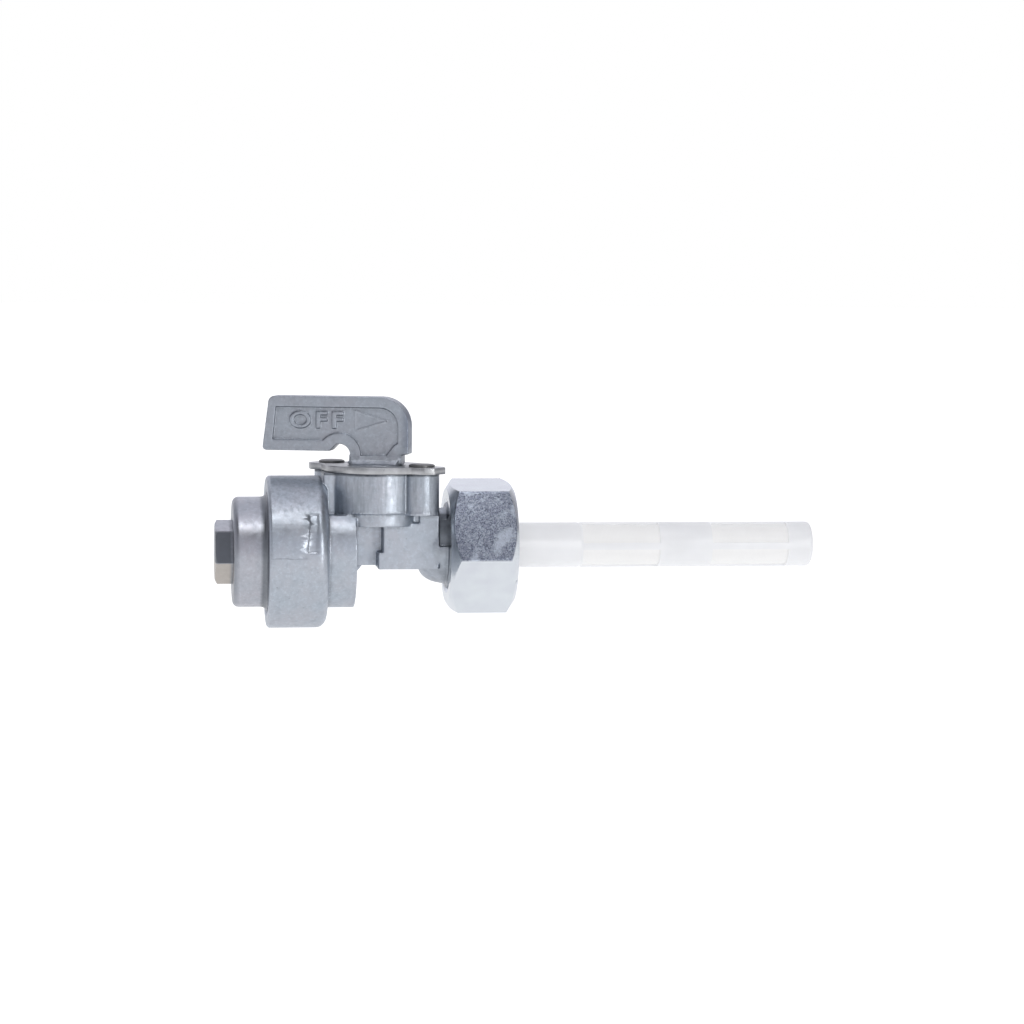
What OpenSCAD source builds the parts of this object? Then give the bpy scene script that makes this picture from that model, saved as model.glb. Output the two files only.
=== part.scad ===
// Fuel tap with a sediment bowl and a standpipe strainer, for the tank of a small engine.
// +X runs along the tap towards the strainer's tip, +Z up along the lever's spindle, +Y to the
// hose outlet. The origin is the centre of the face that seals against the tank.

/* [Tank joint] */
// Nominal diameter of the tank thread that the union nut takes
tank_thread_d = 16; // [15:0.5:17]
// Radial clearance between a male thread and the thread it runs in
thread_clearance = 0.06; // [0.03:0.01:0.09]
// Width of the union nut across its flats
nut_flats = 22; // [21:0.5:24]
// Length of the union nut
nut_length = 12; // [11.5:0.25:13]
// Part of the nut that stands past the sealing face to take the tank's thread
nut_reach = 4; // [3.5:0.25:5.5]
// Diameter of the nut's flat end faces, inside their chamfers
nut_face_d = 20.4; // [19:0.2:21]
// Height of the nut's front corner above the horizontal, in degrees
nut_corner_angle = 53.5; // [30:0.5:60]
// Diameter that each mouth of the nut is opened to
nut_mouth_d = 17; // [16.4:0.1:17.6]
// Thickness of the rubber gasket at the sealing face
gasket_thickness = 1.5; // [1:0.1:2]
// Diameter of the rubber gasket
gasket_d = 14.6; // [13:0.2:15]

/* [Standpipe strainer] */
// Outer diameter of the standpipe
pipe_d = 8.1; // [7.5:0.1:8.5]
// Wall of the moulded cage where it is closed
pipe_wall = 0.65; // [0.5:0.05:0.9]
// Reach of the standpipe past the sealing face
pipe_reach = 58.5; // [57:0.5:75]
// Closed sleeve between the sealing face and the first window
sleeve_length = 16.4; // [12:0.2:17]
// Length of each of the two windows
window_length = 14; // [10:0.5:15]
// Closed band between the windows
band_length = 9.5; // [6:0.5:10]
// Number of ribs round each window
rib_count = 4; // [3:1:6]
// Width of each rib
rib_width = 1.2; // [0.8:0.1:1.6]
// Thickness of the gauze inside the windows
gauze_thickness = 0.25; // [0.15:0.05:0.3]
// Length of gauze held behind the cage at each end of a window
gauze_lap = 1; // [0.6:0.1:1.5]
// Depth of the strainer's plug in the spigot
plug_depth = 4; // [3:0.25:4.5]
// Thickness of the strainer's flange behind the gasket
flange_thickness = 1; // [0.8:0.1:1.3]
// Diameter of the strainer's flange
flange_d = 14; // [13:0.2:15]
// Thickness of the closed tip
tip_thickness = 2; // [1.2:0.1:3]
// Rounding of the tip's edge
tip_rounding = 0.8; // [0.3:0.1:1]

/* [Spigot] */
// Diameter of the plain collar beside the nut
collar_d = 15.4; // [14.8:0.1:15.6]
// Distance from the sealing face to the collar's threaded side
collar_face = 6.6; // [6.2:0.1:7]
// Width of the plain collar
collar_width = 1.5; // [1:0.1:2]
// Length of the bell shoulder between the rib and the collar
shoulder_length = 4.8; // [4:0.2:6]
// Diameter of the bell shoulder where it meets the collar
shoulder_d = 13.6; // [12.5:0.1:14.4]
// Diameter of the bell shoulder at its narrow end
shoulder_neck_d = 7.8; // [7.2:0.1:9]

/* [Valve chamber] */
// Distance from the sealing face to the spindle's axis
spindle_setback = 20.5; // [20:0.1:21]
// Diameter of the chamber
chamber_d = 17.8; // [17.6:0.1:18.2]
// Height of the chamber's top face
chamber_top = 13.3; // [13:0.1:14.5]
// Height of the shoulder under the chamber
chamber_shoulder = 6.3; // [5.8:0.1:6.6]
// Diameter of the step under the shoulder
chamber_step_d = 16.8; // [16:0.1:17.2]
// Height of the chamber's underside
chamber_underside = 4; // [3:0.1:4.4]
// Diameter of the pocket for the rotor
pocket_d = 13; // [12.6:0.1:13.2]
// Height of the pocket's floor
pocket_floor = 6.8; // [6.6:0.1:7]
// Radial clearance of the rotor in its pocket
rotor_clearance = 0.08; // [0.04:0.01:0.1]
// Radial depth of the stop groove outside the pocket
stop_groove = 1; // [0.7:0.1:1.1]
// Distance of the ports from the spindle's axis
port_radius = 3.3; // [3.1:0.1:3.5]
// Diameter of the ports between the packing and the passages
port_d = 2.8; // [2.4:0.1:3]
// Distance of each rivet from the spindle's axis
rivet_radius = 9.8; // [9.4:0.1:10.2]
// Turn of the line through the rivets away from the tap's axis
rivet_angle = 40; // [35:1:45]
// Diameter of the two bosses that take the rivets
boss_d = 6.2; // [5.6:0.1:6.8]
// Height of the underside of the bosses
boss_underside = 6; // [4.5:0.1:6.2]

/* [Passage rib] */
// Half-height of the square rib beside the spigot
rib_half = 3.7; // [3.4:0.1:3.9]
// Half-thickness of the square rib, from front to back
rib_depth = 6.2; // [5.6:0.1:6.4]
// Depth of the pocket in the bell's front, measured from the axis
pocket_front = 4.6; // [4.4:0.1:5]
// Half-size of the slimmer rib beside the port boss
slim_rib_half = 3.2; // [2.8:0.1:3.4]
// Distance from the sealing face to the square rib's near end
rib_near = 9.8; // [9.3:0.1:9.8]
// Length of the square rib
rib_length = 9.9; // [9.6:0.1:10.4]
// Distance below the spindle's plane of the parting line on the ribs
parting_drop = 1.2; // [0.8:0.1:1.6]
// Diameter of the drilled passages
passage_d = 3.5; // [3:0.1:3.6]

/* [Bowl seat] */
// Drop of the bowl's axis below the spigot's axis
bowl_drop = 1; // [0.6:0.1:1.2]
// Distance from the sealing face to the cup's mouth
cup_mouth = 40.1; // [39.5:0.1:41]
// Depth of the cup from its mouth to its back face
cup_length = 10.5; // [10.2:0.1:10.8]
// Outer diameter of the cup
cup_d = 27.1; // [26.6:0.1:27.4]
// Rounding of the cup's back edge
cup_rounding = 1.8; // [1.5:0.1:2.4]
// Chamfer of the cup's front edge
cup_chamfer = 0.4; // [0.2:0.05:0.6]
// Thickness of the cup's floor
cup_floor = 1.7; // [1.5:0.1:2]
// Nominal diameter of the bowl's thread
bowl_thread_d = 22; // [21:0.25:22.5]
// Diameter of the port boss behind the cup
port_boss_d = 20; // [19:0.2:21]
// Length of the port boss
port_boss_length = 5; // [4.8:0.1:5.6]
// Height at which the port boss is trimmed under the chamber
port_boss_top = 6; // [5.6:0.1:6.2]
// Height of the passage that leads into the bowl
feed_height = 4.4; // [4.3:0.1:4.5]
// Diameter of the passage that leads into the bowl
feed_d = 2.6; // [2.2:0.1:2.8]

/* [Hose outlet] */
// Outer diameter of the hose outlet
outlet_d = 6; // [5:0.1:6.4]
// Reach of the hose outlet behind the tap's axis
outlet_reach = 26; // [23:0.5:32]
// Bore of the hose outlet
outlet_bore = 3.6; // [3:0.1:3.8]
// Diameter of the boss at the root of the hose outlet
outlet_boss_d = 8.6; // [8:0.1:9.2]
// Reach of that boss behind the tap's axis
outlet_boss_reach = 13.8; // [13.6:0.1:14.4]
// Rounding of the outlet's tip
outlet_rounding = 0.6; // [0.3:0.1:0.8]

/* [Sediment bowl] */
// Outer diameter of the bowl
bowl_d = 19.6; // [19:0.1:20]
// Distance from the cup's mouth to the bowl's end
bowl_length = 6; // [5.8:0.1:8]
// Rounding of the bowl's end
bowl_rounding = 1.1; // [0.6:0.1:1.6]
// Width of the flare at the cup's mouth
bowl_flare = 1.1; // [0.8:0.1:1.4]
// Diameter of the flare at the cup's mouth
bowl_flare_d = 21.2; // [20.6:0.1:21.4]
// Wall across the bowl's end
bowl_end_wall = 2; // [1.5:0.1:2.5]
// Diameter of the bowl's hollow
bowl_hollow_d = 16; // [15:0.1:16.4]
// Width of the bowl's hexagon across its flats
bowl_hex_flats = 10; // [9:0.5:11]
// Length of the bowl's hexagon
bowl_hex_length = 3.1; // [2.5:0.1:4]
// Height of the hexagon's front corner above the horizontal, in degrees
bowl_hex_angle = 45; // [30:1:60]
// Section of the bowl's O-ring as it is squeezed
o_ring_section = 1.5; // [1.3:0.1:1.7]
// Side room between the bowl's O-ring and the cup's thread
o_ring_room = 0.75; // [0.5:0.05:1]
// Diameter of the screen's frame over the bowl's outlet port
screen_d = 9.2; // [8.8:0.1:9.4]
// Reach of the screen's frame into the bowl
screen_reach = 3.5; // [2.5:0.1:4.5]
// Wall of the screen's frame
screen_wall = 0.7; // [0.6:0.05:0.9]

/* [Lever] */
// Turn of the lever away from the tap's axis, as it was left
lever_turn = -15.5; // [-16:0.5:-15]
// Distance from the spindle to the paddle's far bottom corner
paddle_reach = 20.3; // [18:0.1:24]
// Lean of the paddle's far edge
paddle_lean = 1; // [0:0.1:2]
// Distance from the spindle to the paddle's near edge
paddle_back = 6.1; // [6:0.1:7]
// Height of the paddle's bottom edge
paddle_bottom = 16.9; // [16.6:0.1:17.5]
// Height of the paddle's top edge
paddle_top = 26.6; // [26:0.1:30]
// Thickness of the paddle
paddle_thickness = 4; // [3:0.1:4.4]
// Rounding of the paddle's shoulder above the spindle
paddle_shoulder = 5.2; // [4:0.1:5.6]
// Width of the rim that is left round the sunk panel
panel_rim = 1.9; // [1.5:0.1:2.2]
// Depth of the sunk panel
panel_depth = 0.4; // [0.2:0.05:0.6]
// Radius of the finger notch under the paddle
notch_radius = 2; // [1.6:0.1:2.3]
// Distance from the spindle to the centre of the notch
notch_centre = 6.4; // [6.2:0.1:6.8]
// Diameter of the lever's hub
hub_d = 9.7; // [9.4:0.1:9.8]
// Thickness of the rotor under the hub
rotor_thickness = 2.6; // [2.2:0.1:2.8]
// Thickness of the rubber packing under the rotor
packing_thickness = 2.2; // [1.8:0.1:2.4]
// Gap left between the flat faces that slide on each other
slide_gap = 0.03; // [0.02:0.01:0.05]
// Turn of the lever between its two stops
lever_swing = 90; // [80:1:95]
// Width of the stop lug, in degrees
lug_angle = 30; // [24:1:36]
// Place of the lug round the rotor, in degrees from the paddle's near edge
lug_start = 90; // [85:1:95]

/* [Plate and spring] */
// Thickness of the retaining plate
plate_thickness = 1.2; // [0.8:0.1:1.5]
// Diameter of the plate's round middle
plate_d = 18.2; // [17.8:0.1:18.6]
// Reach of each ear of the plate past its rivet
ear_reach = 3.9; // [3.4:0.1:4.2]
// Width of the ears at their ends
ear_width = 6; // [5:0.1:6.6]
// Corner cut of the ears
ear_corner = 1.3; // [0.6:0.1:1.8]
// Clearance of the hub in the plate's hole
hub_clearance = 0.09; // [0.05:0.01:0.1]
// Diameter of the rivet heads
rivet_head_d = 4.6; // [4:0.1:5]
// Thickness of the rivet heads
rivet_head = 0.5; // [0.4:0.1:1]
// Diameter of the rivet shanks
rivet_d = 2.5; // [2:0.1:2.8]
// Depth of the rivet shanks in the casting
rivet_depth = 5; // [4:0.1:5.5]
// Thickness of the wave spring's steel strip
spring_strip = 0.3; // [0.2:0.05:0.4]
// Width of the wave spring's ring
spring_width = 0.9; // [0.7:0.05:1]
// Number of waves round the spring
spring_waves = 3; // [2:1:5]

/* [Hidden] */
$fn = 96;
eps = 0.01;
arc_steps = 8;
spindle_x = -spindle_setback;
pipe_r = pipe_d / 2;
pipe_bore_r = pipe_r - pipe_wall;
pipe_root_r = pipe_r + 0.25;
gauze_r = pipe_bore_r + gauze_thickness;
flange_x = -gasket_thickness - flange_thickness;
first_window = sleeve_length;
second_window = sleeve_length + window_length + band_length;
spigot_end = flange_x;
collar_x = -collar_face - collar_width;
shoulder_x = collar_x - shoulder_length;
cup_x = -cup_mouth;
cup_back = cup_x + cup_length;
cup_floor_x = cup_back - cup_floor;
port_boss_end = cup_back + port_boss_length;
outlet_x = cup_back + port_boss_length / 2;
bowl_rim_x = cup_floor_x - o_ring_section;
o_ring_d = bowl_thread_d - o_ring_section - 2 * o_ring_room;
bowl_end_x = cup_x - bowl_length;
rotor_r = pocket_d / 2 - rotor_clearance;
packing_top = pocket_floor + packing_thickness;
rotor_bottom = packing_top + slide_gap;
rotor_top = rotor_bottom + rotor_thickness;
plate_top = chamber_top + plate_thickness;
groove_r = pocket_d / 2 + stop_groove;
lug_r = groove_r - 2 * rotor_clearance;
stop_clearance = 1;
hub_r = hub_d / 2;
notch_height = paddle_bottom - 0.7;
seat_depth = 0.5;

// Points of an arc about a centre, from one angle to another
function arc(centre, radius, from, to, steps = arc_steps) =
    [for (i = [0:steps]) let (a = from + (to - from) * i / steps)
        centre + radius * [cos(a), sin(a)]];

// Turns a profile of [radius, x] points about the X axis, or about the bowl's own axis
module turned_x(profile, drop = 0) {
    translate([0, 0, -drop]) rotate([0, 90, 0]) rotate_extrude() polygon(profile);
}

// A bar along X from one place to another
module bar_x(radius, from, to, y = 0, z = 0) {
    translate([from, y, z]) rotate([0, 90, 0]) cylinder(r = radius, h = to - from);
}

// A hexagon along X, with its front corner at an angle above the horizontal
module hexagon_x(flats, from, to, corner_angle, z = 0) {
    translate([from, 0, z]) rotate([0, 90, 0]) rotate([0, 0, 90 - corner_angle])
        cylinder(r = flats / 2 / cos(30), h = to - from, $fn = 6);
}

// A cylinder along the spindle's axis
module at_spindle(radius, from, to) {
    translate([spindle_x, 0, from]) cylinder(r = radius, h = to - from);
}

// Puts its children at both rivets
module at_rivets() {
    for (side = [0, 180])
        translate([spindle_x, 0, 0]) rotate([0, 0, side - rivet_angle])
            translate([rivet_radius, 0, 0]) children();
}

// A flat wedge about the spindle's axis between two angles, wide enough to cut a sector
module sector(from, to, low, high) {
    reach = chamber_d;
    middle = (from + to) / 2;
    translate([spindle_x, 0, low]) linear_extrude(high - low)
        polygon([[0, 0], reach * [cos(from), sin(from)], reach * [cos(middle), sin(middle)],
            reach * [cos(to), sin(to)]]);
}

// Cup that the sediment bowl screws into
module cup_outside() {
    r = cup_d / 2;
    turned_x(concat([[0, cup_x], [r - cup_chamfer, cup_x], [r, cup_x + cup_chamfer]],
        arc([r - cup_rounding, cup_back - cup_rounding], cup_rounding, 0, 90),
        [[0, cup_back]]), bowl_drop);
}

// Thick boss behind the cup, trimmed flat under the chamber
module port_boss() {
    reach = port_boss_d / 2 + 1;
    difference() {
        bar_x(port_boss_d / 2, cup_back - cup_floor / 2, port_boss_end, z = -bowl_drop);
        translate([cup_back - cup_floor, -reach, port_boss_top])
            cube([port_boss_length + 2 * cup_floor, 2 * reach, reach]);
    }
}

// Saddle that joins the chamber to the back of the cup, cast as high as the chamber
module saddle(top) {
    width = chamber_d / 2;
    low = chamber_shoulder - 1;
    translate([cup_back - cup_floor / 3, -width / 2, low])
        cube([chamber_d / 2, width, top - low]);
}

// Chamber with its two bosses, cast a little high and faced off in one plane
module chamber_outside() {
    spare = 1;
    difference() {
        union() {
            at_spindle(chamber_d / 2, chamber_shoulder, chamber_top + spare);
            at_spindle(chamber_step_d / 2, chamber_underside, chamber_shoulder + 1);
            at_rivets() translate([0, 0, boss_underside])
                cylinder(d = boss_d, h = chamber_top + 2 * spare - boss_underside);
            saddle(chamber_top + spare);
            // Web that ties each boss to the chamber
            translate([spindle_x, 0, 0]) rotate([0, 0, -rivet_angle])
                translate([-rivet_radius, -boss_d / 2 + 0.6, boss_underside])
                    cube([2 * rivet_radius, boss_d - 1.2, chamber_top - boss_underside - 0.4]);
        }
        translate([spindle_x - chamber_d, -chamber_d, chamber_top])
            cube([2 * chamber_d, 2 * chamber_d, 3 * spare]);
    }
}

// Square block round the inlet passage and the slimmer rib beside it, with the step between
// them lower under the parting line
module passage_ribs() {
    square_end = -rib_near - rib_length;
    lower_step = 0.9;
    slim_from = port_boss_end - 1;
    translate([square_end, -rib_depth, -parting_drop])
        cube([rib_length, 2 * rib_depth, chamber_underside + parting_drop + 0.5]);
    translate([square_end - lower_step, -rib_depth, -rib_half])
        cube([rib_length + lower_step, 2 * rib_depth, rib_half - parting_drop + 0.5]);
    translate([slim_from, -slim_rib_half, -slim_rib_half])
        cube([square_end - slim_from + 1, 2 * slim_rib_half,
            slim_rib_half + chamber_underside + 0.5]);
    // Cheek under the front boss
    cheek_length = 3.5;
    translate([-rib_near - cheek_length, -rib_depth, 0])
        cube([cheek_length, 2 * rib_depth, chamber_shoulder + 0.5]);
}

// Pocket that the die leaves in the bell's front, between the block and the nut
module bell_pocket() {
    low = 0.3;
    translate([-rib_near, -collar_d, low])
        cube([rib_near - collar_face - 0.3, collar_d - pocket_front, chamber_shoulder - 0.5 - low]);
}

// Bell shoulder, plain collar and threaded end that the union nut runs on
module spigot() {
    thread_r = tank_thread_d / 2 - thread_clearance;
    end_chamfer = 0.6;
    neck_r = shoulder_neck_d / 2;
    rise = shoulder_d / 2 - neck_r;
    turned_x(concat([[0, shoulder_x - 1], [neck_r, shoulder_x - 1], [neck_r, shoulder_x]],
        [for (i = [1:arc_steps]) let (a = 90 * i / arc_steps)
            [neck_r + rise * sin(a), shoulder_x + shoulder_length * (1 - cos(a))]],
        [[collar_d / 2, collar_x], [collar_d / 2, -collar_face], [thread_r, -collar_face + 0.3],
            [thread_r, spigot_end - end_chamfer], [thread_r - end_chamfer, spigot_end],
            [0, spigot_end]]));
}

module hose_outlet() {
    r = outlet_d / 2;
    translate([outlet_x, 0, -bowl_drop]) rotate([-90, 0, 0]) {
        rotate_extrude() polygon(concat([[0, 0], [r, 0], [r, outlet_reach - outlet_rounding]],
            arc([r - outlet_rounding, outlet_reach - outlet_rounding], outlet_rounding, 0, 90, 5),
            [[0, outlet_reach]]));
        cylinder(d1 = outlet_boss_d + 1, d2 = outlet_boss_d, h = outlet_boss_reach);
    }
}

// Everything drilled, threaded or cored out of the casting
module body_hollows() {
    thread_r = bowl_thread_d / 2;
    mouth = 0.4;
    turned_x([[0, cup_x - 1], [thread_r + mouth + 1, cup_x - 1], [thread_r, cup_x + mouth],
        [thread_r, cup_floor_x], [0, cup_floor_x]], bowl_drop);
    bar_x(screen_d / 2, cup_floor_x - eps, cup_floor_x + seat_depth, z = -bowl_drop);
    // Outlet: from the middle of the bowl to the hose
    bar_x(passage_d / 2, cup_floor_x - eps, outlet_x + outlet_bore / 2, z = -bowl_drop);
    translate([outlet_x, -outlet_bore / 3, -bowl_drop]) rotate([-90, 0, 0])
        cylinder(d = outlet_bore, h = outlet_reach + outlet_bore);
    // Feed: from the valve's far port to the bowl
    bar_x(feed_d / 2, cup_floor_x - eps, spindle_x - port_radius + port_d / 2, z = feed_height);
    translate([spindle_x - port_radius, 0, feed_height])
        cylinder(d = port_d, h = pocket_floor - feed_height + eps);
    // Inlet: from the strainer to the valve's near port
    bar_x(passage_d / 2, spindle_x + port_radius - port_d / 2, spigot_end);
    translate([spindle_x + port_radius, 0, 0]) cylinder(d = port_d, h = pocket_floor + eps);
    bar_x(pipe_r, spigot_end - plug_depth, spigot_end + eps);
    // Pocket for the packing and the rotor, with the groove that stops the lever's lug
    at_spindle(pocket_d / 2, pocket_floor, chamber_top + 1);
    intersection() {
        at_spindle(groove_r, packing_top, chamber_top + 1);
        sector(lug_start - lever_swing - lug_angle / 2 - stop_clearance,
            lug_start + lug_angle / 2 + stop_clearance, packing_top, chamber_top + 1);
    }
    at_rivets() translate([0, 0, chamber_top - rivet_depth]) cylinder(d = rivet_d, h = rivet_depth + 1);
}

module valve_body() color("#9ba0ab") difference() {
    union() {
        cup_outside();
        port_boss();
        chamber_outside();
        passage_ribs();
        spigot();
        hose_outlet();
    }
    body_hollows();
    bell_pocket();
}

// Rubber disc with four holes, two over the ports and two blind
module valve_packing() color("#222222") difference() {
    at_spindle(pocket_d / 2, pocket_floor, packing_top);
    for (quarter = [0:3])
        translate([spindle_x, 0, 0]) rotate([0, 0, 90 * quarter])
            translate([port_radius, 0, pocket_floor - 1])
                cylinder(d = port_d, h = packing_thickness + 2);
}

// Side outline of the paddle and its neck: x away from the spindle, y up
module paddle_outline() {
    tip_low = -paddle_reach;
    tip_high = -paddle_reach + paddle_lean;
    shoulder = [paddle_back - paddle_shoulder, paddle_top - paddle_shoulder];
    corner = 1.2;
    heel = 0.65;
    neck = hub_r;
    notch_end = -acos(min(1, (notch_centre - neck) / notch_radius));
    polygon(concat(
        arc([tip_low + heel, paddle_bottom + heel], heel, 270, 180, 4),
        arc([tip_high + corner, paddle_top - corner], corner, 180, 90, 5),
        arc(shoulder, paddle_shoulder, 90, 0, 10),
        [[paddle_back, paddle_bottom - 0.4], [neck, paddle_bottom - 0.6], [neck, plate_top + 0.2],
            [-neck, plate_top + 0.2]],
        arc([-notch_centre, notch_height], notch_radius, notch_end, 105, 12),
        [[-notch_centre - notch_radius + 0.3, paddle_bottom]]));
}

// Outline of the sunk panel, which keeps a rim of even width inside the paddle's outline
module panel_outline() {
    tip_low = -paddle_reach + panel_rim - 0.1;
    shoulder = paddle_shoulder - panel_rim;
    top = paddle_top - panel_rim;
    low = paddle_bottom + panel_rim;
    back = paddle_back - panel_rim;
    wide_notch = notch_radius + panel_rim;
    start = asin((low - notch_height) / wide_notch);
    notch = [-notch_centre, notch_height];
    polygon(concat([[tip_low, low], [tip_low + paddle_lean * 0.6, top]],
        arc([back - shoulder, top - shoulder], shoulder, 90, 0, 8),
        [[back, low - 0.4], [back - 0.7, low - 0.8], [back - 2, paddle_bottom - 0.6]],
        arc(notch, wide_notch, -2, 180 - start, 12)));
}

// Lever cast with its hub and rotor. A slot under the rotor joins two ports when it is open.
module lever() color("#9fa3ad") translate([spindle_x, 0, 0]) rotate([0, 0, lever_turn])
    translate([-spindle_x, 0, 0]) {
        flare = 1;
        hub_stand = 0.15;
        slot_depth = 1.2;
        difference() {
            union() {
                at_spindle(rotor_r, rotor_bottom, rotor_top);
                intersection() {
                    at_spindle(lug_r, rotor_bottom, rotor_top);
                    sector(lug_start - lug_angle / 2, lug_start + lug_angle / 2, rotor_bottom, rotor_top);
                }
                at_spindle(hub_r, rotor_top - 1, plate_top + hub_stand);
                intersection() {
                    at_spindle(hub_r, plate_top, paddle_bottom + 1);
                    translate([spindle_x + hub_r, 0, 0]) rotate([90, 0, -90])
                        linear_extrude(hub_d) polygon([
                            [-paddle_thickness / 2 - flare, plate_top],
                            [paddle_thickness / 2 + flare, plate_top],
                            [paddle_thickness / 2 + 0.3, plate_top + 0.8],
                            [paddle_thickness / 2 - 0.1, plate_top + 1.8],
                            [-paddle_thickness / 2 + 0.1, plate_top + 1.8],
                            [-paddle_thickness / 2 - 0.3, plate_top + 0.8]]);
                }
                translate([spindle_x, paddle_thickness / 2, 0]) rotate([90, 0, 0])
                    linear_extrude(paddle_thickness) paddle_outline();
            }
            for (face = [-1, 1])
                translate([spindle_x, face * paddle_thickness / 2 + panel_depth, 0])
                    rotate([90, 0, 0]) linear_extrude(2 * panel_depth) panel_outline();
            translate([spindle_x - port_radius, -port_d / 2, rotor_bottom - 1])
                cube([2 * port_radius, port_d, slot_depth + 1]);
            for (end = [-1, 1]) translate([spindle_x + end * port_radius, 0, rotor_bottom - 1])
                cylinder(d = port_d, h = slot_depth + 1);
        }
    }

// Wave spring between the rotor and the plate, one closed ring of strip bent into waves
module wave_spring() {
    steps = 60;
    outer = pocket_d / 2 - 0.25;
    inner = outer - spring_width;
    low = rotor_top + slide_gap;
    high = chamber_top - slide_gap - spring_strip;
    function height(i) = (low + high) / 2 + (high - low) / 2 * cos(360 * spring_waves * i / steps);
    function ring_point(i, r, lift) =
        [spindle_x + r * cos(360 * i / steps), r * sin(360 * i / steps), height(i) + lift];
    points = [for (i = [0:steps - 1]) each [ring_point(i, inner, 0), ring_point(i, outer, 0),
        ring_point(i, outer, spring_strip), ring_point(i, inner, spring_strip)]];
    faces = [for (i = [0:steps - 1]) let (a = 4 * i, b = 4 * ((i + 1) % steps)) each
        [for (k = [0:3]) let (n = (k + 1) % 4) each
            [[a + k, b + k, b + n], [a + k, b + n, a + n]]]];
    color("#b9bcc2") polyhedron(points, faces);
}

// Steel plate that holds the rotor down, with an ear over each boss
module retaining_plate() color("#b4b6bb") {
    half_root = plate_d * 0.36;
    ear_x = rivet_radius + ear_reach;
    root_x = sqrt(pow(plate_d / 2, 2) - pow(half_root, 2));
    half_end = ear_width / 2;
    difference() {
        union() {
            at_spindle(plate_d / 2, chamber_top, plate_top);
            for (side = [0, 180])
                translate([spindle_x, 0, chamber_top]) rotate([0, 0, side - rivet_angle])
                    linear_extrude(plate_thickness) polygon([[0, -half_root], [root_x, -half_root],
                        [rivet_radius, -half_end - 0.2], [ear_x - ear_corner, -half_end],
                        [ear_x, -half_end + ear_corner], [ear_x, half_end - ear_corner],
                        [ear_x - ear_corner, half_end], [rivet_radius, half_end + 0.2],
                        [root_x, half_root], [0, half_root]]);
        }
        at_spindle(hub_r + hub_clearance, chamber_top - 1, plate_top + 1);
        at_rivets() translate([0, 0, chamber_top - 1]) cylinder(d = rivet_d, h = plate_thickness + 2);
    }
}

module plate_rivets() color("#5d5f63") at_rivets() {
    translate([0, 0, chamber_top - rivet_depth]) cylinder(d = rivet_d, h = rivet_depth + plate_thickness);
    translate([0, 0, plate_top]) {
        cylinder(d = rivet_head_d, h = rivet_head * 0.7);
        translate([0, 0, rivet_head * 0.7])
            cylinder(d1 = rivet_head_d, d2 = rivet_head_d - 0.8, h = rivet_head * 0.3);
    }
}

// Union nut, threaded right through, with both ends chamfered
module union_nut() color("#c3c6cc") {
    from = nut_reach - nut_length;
    corner_r = nut_flats / 2 / cos(30) + 0.2;
    chamfer = (corner_r - nut_face_d / 2) * tan(33);
    mouth = (nut_mouth_d - tank_thread_d) / 2;
    thread_r = tank_thread_d / 2;
    difference() {
        intersection() {
            hexagon_x(nut_flats, from, nut_reach, nut_corner_angle);
            turned_x([[0, from], [nut_face_d / 2, from], [corner_r, from + chamfer],
                [corner_r, nut_reach - chamfer], [nut_face_d / 2, nut_reach], [0, nut_reach]]);
        }
        turned_x([[0, from - 1], [thread_r + mouth + 1, from - 1], [thread_r, from + mouth],
            [thread_r, nut_reach - mouth], [thread_r + mouth + 1, nut_reach + 1], [0, nut_reach + 1]]);
    }
}

// Nylon cage: plug, flange, root under the gasket, sleeve that ends in a fine groove, two rings
// of windows and a closed tip
module strainer_cage() color("#e9ebe8") {
    groove_width = 0.7;
    groove_depth = 0.12;
    difference() {
        union() {
            turned_x(concat([[0, spigot_end - plug_depth], [pipe_r, spigot_end - plug_depth],
                [pipe_r, flange_x + flange_thickness / 2], [pipe_root_r, flange_x + flange_thickness / 2],
                [pipe_root_r, 0], [pipe_r, 0], [pipe_r, sleeve_length - groove_width],
                [pipe_r - groove_depth, sleeve_length - groove_width / 2], [pipe_r, sleeve_length],
                [pipe_r, pipe_reach - tip_rounding]],
                arc([pipe_r - tip_rounding, pipe_reach - tip_rounding], tip_rounding, 0, 90, 5),
                [[0, pipe_reach]]));
            bar_x(flange_d / 2, flange_x, flange_x + flange_thickness);
        }
        bar_x(pipe_bore_r, spigot_end - plug_depth - 1, pipe_reach - tip_thickness);
        for (from = [first_window, second_window]) {
            bar_x(gauze_r, from - gauze_lap, from + window_length + gauze_lap);
            difference() {
                bar_x(pipe_r + 1, from, from + window_length);
                for (rib = [0:rib_count - 1])
                    rotate([360 / rib_count * rib, 0, 0])
                        translate([from - 1, -rib_width / 2, 0])
                            cube([window_length + 2, rib_width, pipe_r + 2]);
            }
        }
    }
}

// Sleeve of gauze moulded in behind one ring of windows
module gauze_sleeve(from) difference() {
    bar_x(gauze_r, from - gauze_lap, from + window_length + gauze_lap);
    bar_x(pipe_bore_r, from - gauze_lap - 1, from + window_length + gauze_lap + 1);
}

module base_gauze() color("#f1f2ef") gauze_sleeve(first_window);

module tip_gauze() color("#f1f2ef") gauze_sleeve(second_window);

module inlet_gasket() color("#26282b") difference() {
    bar_x(gasket_d / 2, -gasket_thickness, 0);
    bar_x(pipe_root_r, -gasket_thickness - 1, 1);
}

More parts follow.
